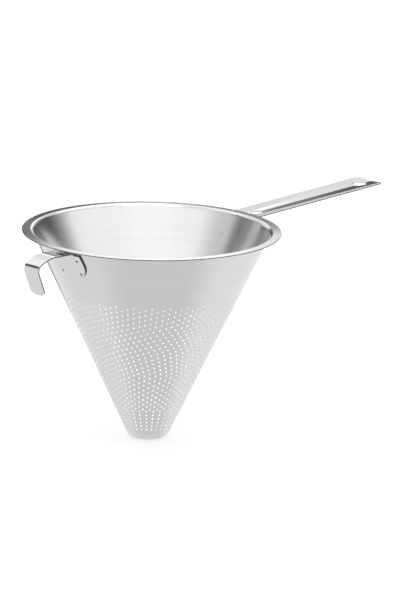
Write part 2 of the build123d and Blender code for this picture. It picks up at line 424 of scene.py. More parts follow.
@dataclass(frozen=True)
class ConeWall:
    """Outer surface of the cone, in millimetres, measured from the mouth."""

    mouth_radius: float = 99.5
    tip_radius: float = 15.7
    depth: float = 176.0
    sheet: float = 0.8
    seat_gap: float = 0.05

    @property
    def half_angle(self) -> float:
        """Half angle of the cone in radians."""
        return math.atan2(self.mouth_radius - self.tip_radius, self.depth)

    @property
    def up(self) -> np.ndarray:
        """Direction up along the wall."""
        return np.array([math.sin(self.half_angle), math.cos(self.half_angle)])

    @property
    def out(self) -> np.ndarray:
        """Direction out of the wall."""
        return np.array([math.cos(self.half_angle), -math.sin(self.half_angle)])

    def seat(self) -> np.ndarray:
        """Where a welded sheet's inner face meets the plane of the mouth."""
        return np.array([self.mouth_radius, 0.0]) + self.out * self.seat_gap

    def side_place(self, along: np.ndarray | float, depth: np.ndarray | float) -> tuple:
        """Radius and height at a distance down the wall and a depth in from the outside."""
        radius = self.mouth_radius - along * self.up[0] - depth * self.out[0]
        return radius, -along * self.up[1] - depth * self.out[1]

    def point(self, along: np.ndarray, angle: np.ndarray, depth: np.ndarray) -> np.ndarray:
        """Places at distances down the wall, angles round it in radians and depths in from the outside."""
        radius, height = self.side_place(along, depth)
        return np.stack([radius * np.cos(angle), radius * np.sin(angle), height], axis=-1)


@dataclass
class BentPath:
    """Side view of a strip's upper face: straight runs joined by arcs."""

    corners: list[np.ndarray]
    radii: list[float]

    def __post_init__(self) -> None:
        """Works out where each run and each bend starts."""
        runs = [after - before for before, after in zip(self.corners, self.corners[1:])]
        lengths = [float(np.linalg.norm(run)) for run in runs]
        headings = [math.atan2(run[1], run[0]) for run in runs]
        self.pieces: list[tuple] = []
        start = 0.0
        used = 0.0
        for index, (length, turn_from) in enumerate(zip(lengths, headings)):
            last = index == len(runs) - 1
            turn = 0.0 if last else (headings[index + 1] - turn_from + math.pi) % (2 * math.pi) - math.pi
            setback = 0.0 if last else self.radii[index] * math.tan(abs(turn) / 2)
            along = ray_at(turn_from)
            straight = length - used - setback
            self.pieces.append((start, straight, self.corners[index] + along * used, turn_from, 0.0))
            start += straight
            if not last:
                bend = self.radii[index] * abs(turn)
                begin = self.corners[index + 1] - along * setback
                self.pieces.append((start, bend, begin, turn_from, turn / bend))
                start += bend
            used = setback
        self.length = start

    def at(self, u: np.ndarray) -> tuple[np.ndarray, np.ndarray]:
        """Points of the line and its headings, at distances along it.

        Args:
            u: Distances from the start.

        Returns:
            The points, one row each, and the headings in radians.
        """
        points = np.zeros((len(u), 2))
        headings = np.zeros(len(u))
        for number, (start, _, begin, angle, bend) in enumerate(self.pieces):
            mine = u >= start if number else np.ones(len(u), bool)
            step = u[mine] - start
            here = angle + bend * step
            if bend:
                places = np.stack([np.sin(here) - math.sin(angle), math.cos(angle) - np.cos(here)], axis=1)
                places /= bend
            else:
                places = np.stack([np.cos(here), np.sin(here)], axis=1) * step[:, None]
            points[mine] = begin + places
            headings[mine] = here
        return points, headings

    def stations(self, run_step: float, bend_step: float) -> list[float]:
        """Distances at which lines cross the strip: wide apart on the runs, close in the bends."""
        places: list[float] = []
        for start, length, _, _, bend in self.pieces:
            steps = math.ceil(length / (math.radians(bend_step) / abs(bend) if bend else run_step))
            places.extend(start + length * share for share in np.linspace(0, 1, max(1, steps) + 1)[:-1])
        return places[1:]


@dataclass
class StripForm:
    """How a flat point of a strip gets its place: its side view, its curve on the wall and its crease."""

    path: BentPath
    wall: ConeWall
    wall_until: float
    free_from: float
    crease_angle: float = 0.0
    crease_radius: float = 4.0
    half_width: float = 15.0
    lifted_edges: tuple[float, float] = (0.0, 0.0)
    lifted_angle: float = 0.0
    turned: bool = False

    def rise(self, u: np.ndarray, v: np.ndarray, share: np.ndarray, curve: np.ndarray) -> np.ndarray:
        """How far the upper face rises at a distance from the strip's middle."""
        flank = self.crease_radius * math.sin(math.radians(self.crease_angle))
        edge = np.interp(u, (self.free_from, self.path.length), self.lifted_edges)
        lift = math.tan(math.radians(self.lifted_angle)) * edge
        whole = math.tan(math.radians(self.crease_angle)) * (self.half_width - flank)
        slope = (whole - lift) / (self.half_width - flank - edge)
        left_of_radius = np.maximum(self.crease_radius**2 - np.minimum(v**2, flank**2), 0)
        crease = self.crease_radius - np.sqrt(left_of_radius) + np.maximum(np.abs(v) - flank, 0) * slope
        beyond = np.maximum(np.abs(v) - self.half_width + edge, 0)
        crease += beyond * (math.tan(math.radians(self.lifted_angle)) - slope)
        on_wall = curve - np.sqrt(curve**2 - v**2)
        return crease * (1 - share) + on_wall * share

    def place(self, u: np.ndarray, v: np.ndarray, depth: np.ndarray) -> np.ndarray:
        """Places of flat points at depths below the upper face."""
        points, headings = self.path.at(u)
        share = np.clip((self.free_from - u) / (self.free_from - self.wall_until), 0, 1)
        curve = self.path.at(np.minimum(u, self.wall_until))[0][:, 0] / self.wall.out[0]
        lift = self.rise(u, v, share, curve) - depth
        x = points[:, 0] - np.sin(headings) * lift
        z = points[:, 1] + np.cos(headings) * lift
        side = -1.0 if self.turned else 1.0
        return np.stack([x * side, v * side, z], axis=1)


# Finishes.


def laid_flat(tree: Tree, where: Socket) -> Socket:
    """Direction away from the vertical axis, of length one."""
    flat = add_node(tree, "ShaderNodeVectorMath", {"operation": "MULTIPLY", 1: (1, 1, 0)}, {0: where})
    return add_node(tree, "ShaderNodeVectorMath", {"operation": "NORMALIZE"}, {0: flat.outputs[0]}).outputs[0]


class Grain(Enum):
    """Which way the polishing belt or wheel ran."""

    ROUND_AXIS = "round the cone"
    ALONG_STRIP = "along the strip"
    NONE = "none"


@dataclass(frozen=True)
class SatinSteel:
    """Stainless steel, ground and then brushed to a satin finish.

    The fine parallel scratches draw every reflection out across them, so the metal shows soft bands and no
    clear mirror image. Grit 240 leaves scratches about 0.05 mm apart, too fine to show here, so they are
    drawn coarser.

    Attributes:
        name: The material's name.
        light: Colour where the polish is cleanest.
        dull: Colour where it is greyest.
        roughness: Mean roughness.
        roughness_swing: How far the roughness wanders to each side.
        scratch_mm: Spacing of the drawn scratches.
        scratch_length_mm: Their length.
        scratch_depth_mm: Their depth, for the bump.
        anisotropy: How strongly the scratches draw the reflections out.
        grain: Which way the scratches run.
        polished_from_mm: Distance from the axis beyond which the steel is polished, or zero for none.
        polished_share: Roughness there, as a share of the rest.
    """

    name: str
    light: str = "#D6D7D8"
    dull: str = "#D2D3D4"
    roughness: float = 0.22
    roughness_swing: float = 0.01
    scratch_mm: float = 0.45
    scratch_length_mm: float = 30.0
    scratch_depth_mm: float = 0.001
    anisotropy: float = 0.7
    grain: Grain = Grain.ALONG_STRIP
    polished_from_mm: float = 0.0
    polished_share: float = 0.45

    def surface_vector(self, tree: Tree) -> Socket:
        """Coordinates in which one unit is a scratch's spacing across the grain and its length along it."""
        if self.grain is Grain.ROUND_AXIS:
            where = add_node(tree, "ShaderNodeTexCoord").outputs["Object"]
            turns = GRAIN_RADIUS / self.scratch_length_mm
            round_size = {"operation": "MULTIPLY", 1: (turns, turns, 0)}
            round_axis = add_node(tree, "ShaderNodeVectorMath", round_size, {0: laid_flat(tree, where)})
            upright_size = {"operation": "MULTIPLY", 1: (0, 0, 1 / (self.scratch_mm * MM))}
            height = add_node(tree, "ShaderNodeVectorMath", upright_size, {0: where})
            both = {0: round_axis.outputs[0], 1: height.outputs[0]}
            return add_node(tree, "ShaderNodeVectorMath", {"operation": "ADD"}, both).outputs[0]
        where = add_node(tree, "ShaderNodeUVMap", {"uv_map": "flat"}).outputs[0]
        size = (1 / (self.scratch_length_mm * MM), 1 / (self.scratch_mm * MM), 0)
        sized = {"operation": "MULTIPLY", 1: size}
        return add_node(tree, "ShaderNodeVectorMath", sized, {0: where}).outputs[0]

    def build(self) -> bpy.types.Material:
        """Makes the material.

        Returns:
            The material, with scratches, tone and roughness from noise along the grain. It is made once for
            each name.
        """
        if self.name in bpy.data.materials:
            return bpy.data.materials[self.name]
        material = bpy.data.materials.new(self.name)
        tree = empty_tree(material)
        vector = self.surface_vector(tree)
        fine = {"Scale": 1.0, "Detail": 3.0, "Roughness": 0.6}
        scratches = add_node(tree, "ShaderNodeTexNoise", fine, {"Vector": vector}).outputs["Fac"]
        # The same grain drawn twelve times as wide, for broad bands of tone.
        widening = {"operation": "MULTIPLY", 1: (0.6, 0.08, 0.08)}
        wide = add_node(tree, "ShaderNodeVectorMath", widening, {0: vector}).outputs[0]
        broad = {"Scale": 1.0, "Detail": 2.0, "Roughness": 0.5}
        bands = add_node(tree, "ShaderNodeTexNoise", broad, {"Vector": wide}).outputs["Fac"]
        # Clouds about 45 mm across, since no polish is even.
        object_place = add_node(tree, "ShaderNodeTexCoord").outputs["Object"]
        cloudy = {"Scale": 22.0, "Detail": 2.0}
        clouds = add_node(tree, "ShaderNodeTexNoise", cloudy, {"Vector": object_place}).outputs["Fac"]
        half = {"operation": "MULTIPLY_ADD", 1: 0.5}
        both = add_node(tree, "ShaderNodeMath", half, {0: scratches, 2: bands}).outputs[0]
        tones = {"From Min": 0.45, "From Max": 1.05, "To Min": 0.0, "To Max": 1.0}
        tone = add_node(tree, "ShaderNodeMapRange", tones, {"Value": both}).outputs[0]
        colours = {"data_type": "RGBA", 6: linear(self.light), 7: linear(self.dull)}
        colour = add_node(tree, "ShaderNodeMix", colours, {0: tone})
        clouded = {"operation": "MULTIPLY_ADD", 1: 0.7}
        uneven = add_node(tree, "ShaderNodeMath", clouded, {0: clouds, 2: both}).outputs[0]
        smoothest, roughest = self.roughness - self.roughness_swing, self.roughness + self.roughness_swing
        wander = {"From Min": 0.7, "From Max": 1.5, "To Min": smoothest, "To Max": roughest}
        roughness = add_node(tree, "ShaderNodeMapRange", wander, {"Value": uneven}).outputs[0]
        if self.polished_from_mm:
            level = {"operation": "MULTIPLY", 1: (1, 1, 0)}
            flat = add_node(tree, "ShaderNodeVectorMath", level, {0: object_place}).outputs[0]
            reach = add_node(tree, "ShaderNodeVectorMath", {"operation": "LENGTH"}, {0: flat})
            start = self.polished_from_mm * MM
            ends = {"From Min": start, "From Max": start + MM, "To Min": 1.0, "To Max": self.polished_share}
            polish = add_node(tree, "ShaderNodeMapRange", ends, {"Value": reach.outputs["Value"]}).outputs[0]
            shares = {0: roughness, 1: polish}
            roughness = add_node(tree, "ShaderNodeMath", {"operation": "MULTIPLY"}, shares).outputs[0]
        depth = {"Strength": 1.0, "Distance": self.scratch_depth_mm * MM}
        bump = add_node(tree, "ShaderNodeBump", depth, {"Height": scratches})
        # A quarter turn draws the reflections out across the scratches.
        steel = add_node(
            tree,
            "ShaderNodeBsdfPrincipled",
            {"Metallic": 1.0, "Anisotropic": self.anisotropy, "Anisotropic Rotation": 0.25},
            {"Base Color": colour.outputs[2], "Roughness": roughness, "Normal": bump.outputs[0]},
        )
        directions = {
            Grain.ROUND_AXIS: {"direction_type": "RADIAL", "axis": "Z"},
            Grain.ALONG_STRIP: {"direction_type": "UV_MAP", "uv_map": "flat"},
        }
        if self.grain in directions:
            tangent = add_node(tree, "ShaderNodeTangent", directions[self.grain])
            tree.links.new(tangent.outputs[0], steel.inputs["Tangent"])
        add_node(tree, "ShaderNodeOutputMaterial", None, {"Surface": steel.outputs[0]})
        return material


# Pieces.


# Inside, the same steel has a lighter colour, which is painted light: it sends more light back out of the
# bowl and through the holes.
INNER_STEEL = SatinSteel(
    "stainless steel, drawn, inside painted lighter",
    light="#E7E8E7",
    dull="#E2E3E2",
    scratch_mm=0.3,
    scratch_length_mm=60.0,
    grain=Grain.ROUND_AXIS,
)
# The cut edges are painted dark, as a painted shadow of the gap beside them and a painted dark reflection, so
# each sheet ends in a thin dark line.
EDGE_SHADOW_STEEL = SatinSteel(
    "stainless steel, cut edge painted dark as shadow",
    light="#58595C",
    dull="#444548",
    roughness=0.38,
    scratch_depth_mm=0.006,
    anisotropy=0.0,
    grain=Grain.NONE,
)
# The current burns the steel of a spot weld matt and grey, so each one shows as a small dark button.
WELD_STEEL = SatinSteel(
    "stainless steel, spot welded and bare",
    light="#828385",
    dull="#636466",
    roughness=0.42,
    scratch_depth_mm=0.01,
    anisotropy=0.0,
    grain=Grain.NONE,
)
# On the far side of the wall the electrode only presses a shallow print, as bright as the steel round it;
# like that steel, its colour is painted lighter as painted light.
PRINT_STEEL = SatinSteel(
    "stainless steel, pressed by the welding electrode",
    light="#E3E4E3",
    dull="#DCDDDC",
    scratch_mm=0.3,
    scratch_length_mm=60.0,
    grain=Grain.ROUND_AXIS,
)


@dataclass
class PerforatedCone:
    """The drawn cone with its turned-out rim, blank tip and rings of punched holes, in millimetres."""

    wall: ConeWall
    rim_width: float = 8.2
    rim_droop_angle: float = 2.5
    lip_bend_radius: float = 3.0
    tip_bend_radius: float = 5.5
    rim_edge: float = 0.2
    hole_radius: float = 0.8
    hole_edge: float = 0.05
    hole_steps: int = 14
    plain_band: float = 49.6
    holes_per_ring: int = 31
    columns_per_hole: int = 7
    line_margin: float = 0.1
    lip_points: tuple[int, int] = (9, 13)
    tip_points: int = 9
    first_turn_share: float = 0.595
    ring_counts: tuple[int, ...] = (12, 14, 11, 15, 5)
    pitches: tuple[float, ...] = (1.72, 1.92, 2.16, 2.53, 3.89)
    turn_shares: tuple[float, ...] = (-0.341, -0.388, -0.451, -0.525, 0.0)
    finish: SatinSteel = SatinSteel(
        "stainless steel, drawn and satin brushed round the cone",
        light="#DADBDD",
        dull="#D7D8DA",
        scratch_mm=0.3,
        scratch_length_mm=60.0,
        grain=Grain.ROUND_AXIS,
        polished_from_mm=98.5,
    )

    @property
    def columns(self) -> int:
        """How many lines of points run down the cone."""
        return self.holes_per_ring * self.columns_per_hole

    def rings(self) -> tuple[list[float], list[float]]:
        """Distances of the rings of holes down the wall, and their turns as shares of one hole spacing."""
        along = [self.plain_band / self.wall.up[1]]
        turns = [self.first_turn_share]
        for count, pitch, share in zip(self.ring_counts, self.pitches, self.turn_shares):
            for _ in range(count):
                along.append(along[-1] + pitch)
                turns.append(turns[-1] + share)
        return along, turns

    def bands(self, along: Sequence[float]) -> list[float]:
        """Distances of the lines between the rings of holes, and of one above them and one below."""
        middles = [(one + other) / 2 for one, other in zip(along, along[1:])]
        first = along[0] - self.pitches[0] / 2 - self.line_margin
        return [first, *middles, along[-1] + self.hole_radius * 2]

    def add_ring(self, parts: MeshParts, radius: float, height: float, normal: tuple) -> np.ndarray:
        """Adds one ring of points round the axis.

        Args:
            parts: The mesh in the making.
            radius: The ring's radius.
            height: Its height.
            normal: The surface's normal there, outward and up.

        Returns:
            The ring's indices.
        """
        angles = np.arange(self.columns) * 2 * math.pi / self.columns
        around = np.stack([np.cos(angles), np.sin(angles)], axis=1)
        points = np.column_stack([around * radius, np.full(self.columns, height)])
        normals = np.column_stack([around * normal[0], np.full(self.columns, normal[1])])
        flats = np.column_stack([angles * radius, np.full(self.columns, height)])
        return parts.add_points(points, normals, flats)

    def add_wall_ring(self, parts: MeshParts, along: float, depth: float, sign: int) -> np.ndarray:
        """Adds a ring at a distance down the wall and a depth into it, with its normal out (1) or in (-1)."""
        return self.add_ring(parts, *self.wall.side_place(along, depth), tuple(self.wall.out * sign))

    def profile(self) -> tuple[list[tuple], list[list[tuple]], range]:
        """Side view of the cone above and below the wall, where each place has its normal beside it.

        Returns:
            The upper part, as one run from the lip's outside round the rim to the lip's inside. The lower
            part, as two runs, outside and inside. The steps of the upper run that are the rim's cut edge.
        """
        wall = self.wall
        half = wall.half_angle
        slope = math.radians(self.rim_droop_angle)
        lip = np.array([wall.mouth_radius - wall.sheet * math.tan(half), -wall.sheet])
        edge_radius = wall.mouth_radius + self.rim_width
        brim = np.array([math.cos(slope), -math.sin(slope)])
        brim_up = np.array([math.sin(slope), math.cos(slope)])
        edge = lip + brim * ((edge_radius - lip[0]) / brim[0])
        turn = math.pi / 2 + slope - half
        bend = self.lip_bend_radius
        centre = crossing(lip - brim_up * bend, brim, lip + wall.out * bend, wall.up)
        upper: list[tuple] = []
        start = math.atan2(-wall.out[1], -wall.out[0])
        for share in np.linspace(0, 1, self.lip_points[0]):
            ray = ray_at(start - turn * share)
            upper.append((centre + ray * self.lip_bend_radius, -ray))
        lip_end = upper[-1][0]
        for share in (0.3, 0.65):
            upper.append((lip_end + (edge - lip_end) * share, -brim_up))
        e = self.rim_edge
        quarter = (0, math.pi / 4, math.pi / 2)
        # The edge's flat middle and the two steps of its rounding above.
        cut = range(len(upper) + 2, len(upper) + 5)
        top = edge + brim_up * wall.sheet
        for corner, into, angles in ((edge, brim_up, quarter), (top, -brim_up, reversed(quarter))):
            for angle in angles:
                place = corner - brim * e * (1 - math.sin(angle)) + into * e * (1 - math.cos(angle))
                upper.append((place, brim * math.sin(angle) - into * math.cos(angle)))
        bend_end = centre + brim_up * (self.lip_bend_radius + wall.sheet)
        for share in (0.35, 0.7):
            upper.append((top - brim * e + (bend_end - top + brim * e) * share, brim_up))
        for share in np.linspace(1, 0, self.lip_points[1]):
            ray = ray_at(start - turn * share)
            upper.append((centre + ray * (self.lip_bend_radius + wall.sheet), ray))
        lower: list[list[tuple]] = []
        floor = -wall.depth
        turn = math.pi / 2 - half
        setback = self.tip_bend_radius * math.tan(turn / 2)
        middle = np.array([wall.tip_radius - setback, floor + self.tip_bend_radius])
        for inner in (False, True):
            radius = self.tip_bend_radius - (wall.sheet if inner else 0)
            sign = -1 if inner else 1
            run: list[tuple] = []
            for share in np.linspace(0, 1, self.tip_points):
                ray = ray_at(-half - turn * share)
                run.append((middle + ray * radius, ray * sign))
            for share in (0.6, 0.25):
                place = np.array([middle[0] * share, middle[1] - radius])
                run.append((place, np.array([0, -1.0]) * sign))
            lower.append(run)
        return upper, lower, cut

    def add_hole_bands(self, parts: MeshParts, outer: list[np.ndarray], inner: list[np.ndarray]) -> None:
        """Adds the perforated part of the wall between rings of points that are there already.

        Args:
            parts: The mesh in the making.
            outer: Indices of the rings between the rings of holes, on the outside.
            inner: The same on the inside.
        """
        along, turns = self.rings()
        lines = self.bands(along)
        spacing = 2 * math.pi / self.holes_per_ring
        column = spacing / self.columns_per_hole
        cells = np.arange(self.holes_per_ring)
        # Rings of points down through a hole: growth of its radius, depth, and shares in their normals of the
        # wall's face and of the hole's side.
        layers = (
            (self.hole_edge, 0.0, 1.0, 0.0),
            (0.0, self.hole_edge, 0.0, 1.0),
            (0.0, self.wall.sheet - self.hole_edge, 0.0, 1.0),
            (self.hole_edge, self.wall.sheet, -1.0, 0.0),
        )
        for number, (middle, turn) in enumerate(zip(along, turns)):
            radius = self.wall.mouth_radius - middle * self.wall.up[0]
            angle = (turn % 1) * spacing
            first = round((angle - spacing / 2) / column)
            left = (first * column - angle) * radius
            step = column * radius
            above, below = lines[number] - middle, lines[number + 1] - middle
            places = [left + step * i for i in range(self.columns_per_hole + 1)]
            outline = np.array([(x, below) for x in places] + [(x, above) for x in reversed(places)])
            hole = circle((0, 0), self.hole_radius + self.hole_edge, self.hole_steps)
            flat, triangles = triangulate([outline, hole], [])
            rim = np.hypot(flat[:, 0], flat[:, 1]) < self.hole_radius + self.hole_edge * 1.5
            order = np.argsort(np.arctan2(flat[rim][:, 1], flat[rim][:, 0]))
            rim_index = np.flatnonzero(rim)[order]
            ring_sets = []
            for grow, depth, face_share, hole_share in layers:
                reach = self.hole_radius + grow
                unit = flat[rim_index] / np.linalg.norm(flat[rim_index], axis=1, keepdims=True)
                q = unit[:, 0] * reach
                s = unit[:, 1] * reach + middle
                angles = angle + q / radius
                every = (angles[None, :] + cells[:, None] * spacing).ravel()
                s_all = np.tile(s, len(cells))
                points = self.wall.point(s_all, every, np.full(len(every), depth))
                cos, sin = np.cos(every), np.sin(every)
                across, down = np.tile(unit[:, 0], len(cells)), np.tile(unit[:, 1], len(cells))
                out_round, out_up = self.wall.out
                up_round, up_up = self.wall.up
                flat_on = (cos * out_round, sin * out_round, np.full(len(every), out_up))
                face_normal = np.stack(flat_on, axis=1)
                level = (cos * up_round * down + sin * across, sin * up_round * down - cos * across)
                towards = np.stack([*level, up_up * down], axis=1)
                normals = face_normal * face_share + towards * hole_share
                flats = np.stack([every * radius, s_all], axis=1)
                ring_sets.append(parts.add_points(points, normals, flats).reshape(len(cells), -1))
            for finish, (line_set, rim_set) in enumerate(((outer, ring_sets[0]), (inner, ring_sets[3]))):
                table = np.zeros((len(cells), len(flat)), int)
                table[:, rim_index] = rim_set
                for i in np.flatnonzero(~rim):
                    upper = abs(flat[i, 1] - above) < abs(flat[i, 1] - below)
                    place = first + round((flat[i, 0] - left) / step)
                    ring = line_set[number if upper else number + 1]
                    table[:, i] = ring[(place + cells * self.columns_per_hole) % self.columns]
                parts.add_faces(table[:, triangles].reshape(-1, 3), finish)
            for one, other in zip(ring_sets, ring_sets[1:]):
                ahead, ahead_other = np.roll(one, -1, axis=1), np.roll(other, -1, axis=1)
                parts.add_faces(np.stack([one, ahead, ahead_other, other], axis=2).reshape(-1, 4), 1)

    def build(self) -> bpy.types.Object:
        """Makes the cone.

        Returns:
            The piece, dressed, in place of the plainer cone of the frame.
        """
        parts = MeshParts()
        wall = self.wall
        upper, lower, cut = self.profile()
        along, _ = self.rings()
        lines = self.bands(along)
        # Finish 0 is the outside's, 1 the inside's and the holes', painted lighter, 2 the cut edge's, painted
        # dark as shadow.
        rings = [self.add_ring(parts, *place, tuple(normal)) for place, normal in upper]
        for number, (one, other) in enumerate(zip(rings, rings[1:])):
            parts.add_band(one, other, 2 if number in cut else 0)
        sets = []
        for inner in (False, True):
            depth = wall.sheet if inner else 0.0
            sign = -1 if inner else 1
            last = rings[-1] if inner else rings[0]
            start = float(upper[-1 if inner else 0][0][1])
            first_line = -(start + depth * wall.out[1]) / wall.up[1]
            for share in (0.2, 0.4, 0.6, 0.8):
                distance = first_line + (lines[0] - first_line) * share
                ring = self.add_wall_ring(parts, distance, depth, sign)
                parts.add_band(last, ring, int(inner))
                last = ring
            ring_set = [self.add_wall_ring(parts, line, depth, sign) for line in lines]
            parts.add_band(last, ring_set[0], int(inner))
            last = ring_set[-1]
            for place, normal in lower[int(inner)]:
                ring = self.add_ring(parts, *place, tuple(normal))
                parts.add_band(last, ring, int(inner))
                last = ring
            height = -wall.depth + depth
            normal = np.array([[0, 0, -1.0 * sign]])
            centre = parts.add_points(np.array([[0, 0, height]]), normal, np.zeros((1, 2)))
            parts.add_fan(last, centre[0], int(inner))
            sets.append(ring_set)
        self.add_hole_bands(parts, sets[0], sets[1])
        piece = parts.build("perforated_cone_skin", [self.finish, INNER_STEEL, EDGE_SHADOW_STEEL])
        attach(piece, "root")
        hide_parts("perforated_cone")
        log.info("cone: %d holes, %d faces", self.holes_per_ring * len(along), len(piece.data.polygons))
        return piece


@dataclass
class WeldRows:
    """Four spot welds in two rows: a sunk button in the outer sheet and a faint print inside the cone.

    Attributes:
        radius: Radius of a weld.
        recess: How far its face lies below the sheet's.
        spread: How far apart the two columns of welds are.
        inset: How far each row lies from the end of the welded length.
        flat_share: How much further apart the welds lie in the flat sheet than across the curved wall.
        seat_share: Radius of a weld's seat in the sheet, as a share of the weld's.
        button: Side view from the rim inward: shares of the radius, and heights from the weld's face.
        pressed: The same of the print, with heights from the wall's inside.
    """

    radius: float = 1.1
    recess: float = 0.25
    spread: float = 18.0
    inset: float = 4.5
    flat_share: float = 1.007
    seat_share: float = 1.03
    button: Profile = ((1.0, -0.06), (0.93, 0.0), (0.7, 0.05), (0.4, -0.02), (0.15, -0.05))
    pressed: Profile = ((1.25, -0.002), (1.15, -0.03), (0.8, -0.045), (0.4, -0.02))

    def places(self, wall: ConeWall, top: np.ndarray, length: float) -> list[tuple[float, float, float]]:
        """Each weld's distance below the welded length's top, sideways place and distance down the wall."""
        found = []
        for distance in (self.inset, length - self.inset):
            spot = top - wall.up * distance
            for side in (-1, 1):
                found.append((distance, side * self.spread / 2, -spot[1] / wall.up[1]))
        return found

    def seats(self, wall: ConeWall, top: np.ndarray, length: float) -> list[Hole]:
        """Holes for the welds in the flat sheet."""
        found = []
        for distance, sideways, _ in self.places(wall, top, length):
            found.append(((length - distance, sideways * self.flat_share), self.radius * self.seat_share))
        return found

    def build(
        self, name: str, node: str, wall: ConeWall, top: np.ndarray, length: float, sheet: float, turned: bool
    ) -> bpy.types.Object:
        """Makes the welds of one welded plate.

        Args:
            name: The piece's name.
            node: The frame's node that it stands for.
            wall: The cone's wall.
            top: Top of the welded length, in the side view.
            length: The welded length.
            sheet: Thickness of the welded sheet.
            turned: Whether the plate is on the hook's side.

        Returns:
            The piece, dressed.
        """
        parts = MeshParts()
        face = wall.seat_gap + sheet - self.recess
        button = [(1.0, 0.0), *((share, face + rise) for share, rise in self.button)]
        pressed = [(share, rise - wall.sheet) for share, rise in self.pressed]
        for _, sideways, along in self.places(wall, top, length):
            radius = wall.mouth_radius - along * wall.up[0]
            angle = math.asin(sideways / radius) + (math.pi if turned else 0)
            centre = wall.point(np.array([along]), np.array([angle]), np.array([0.0]))[0]
            out = np.array([math.cos(angle) * wall.out[0], math.sin(angle) * wall.out[0], wall.out[1]])
            side = np.array([-math.sin(angle), math.cos(angle), 0])
            up = np.cross(out, side)
            for shape, sign in ((button, 1), (pressed, -1)):
                self.lathe(parts, shape, sign, (centre, out, side, up))
        piece = parts.build(name, [WELD_STEEL, PRINT_STEEL])
        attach(piece, "root")
        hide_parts(node)
        log.info("%s: 4 welds", name)
        return piece

    def lathe(self, parts: MeshParts, shape: Sequence[tuple[float, float]], sign: int, axes: tuple) -> None:
        """Turns one side view round a weld's axis.

        Args:
            parts: The mesh in the making.
            shape: Shares of the weld's radius, and heights above the wall.
            sign: Which way its face looks, 1 outward and -1 inward.
            axes: The weld's place on the wall, its axis and two directions square to it.
        """
        centre, out, side, up = axes
        finish = 0 if sign > 0 else 1
        angles = np.arange(WELD_STEPS) * 2 * math.pi / WELD_STEPS
        ray = np.cos(angles)[:, None] * side + np.sin(angles)[:, None] * up
        last = None
        for number, (share, height) in enumerate(shape):
            before = shape[max(number - 1, 0)]
            after = shape[min(number + 1, len(shape) - 1)]
            rise = after[1] - before[1]
            inward = (before[0] - after[0]) * self.radius
            # The last term keeps a normal from having no length.
            normals = (ray * rise + out * inward) * sign + out * sign * 1e-6
            places = centre + ray * (share * self.radius) + out * height
            flats = np.stack([angles, np.full(WELD_STEPS, share)], axis=1)
            ring = parts.add_points(places, normals, flats)
            if last is not None:
                parts.add_band(last, ring, finish)
            last = ring
        top = (centre + out * shape[-1][1])[None, :]
        middle = parts.add_points(top, out[None, :] * sign, np.zeros((1, 2)))
        parts.add_fan(last, middle[0], finish)


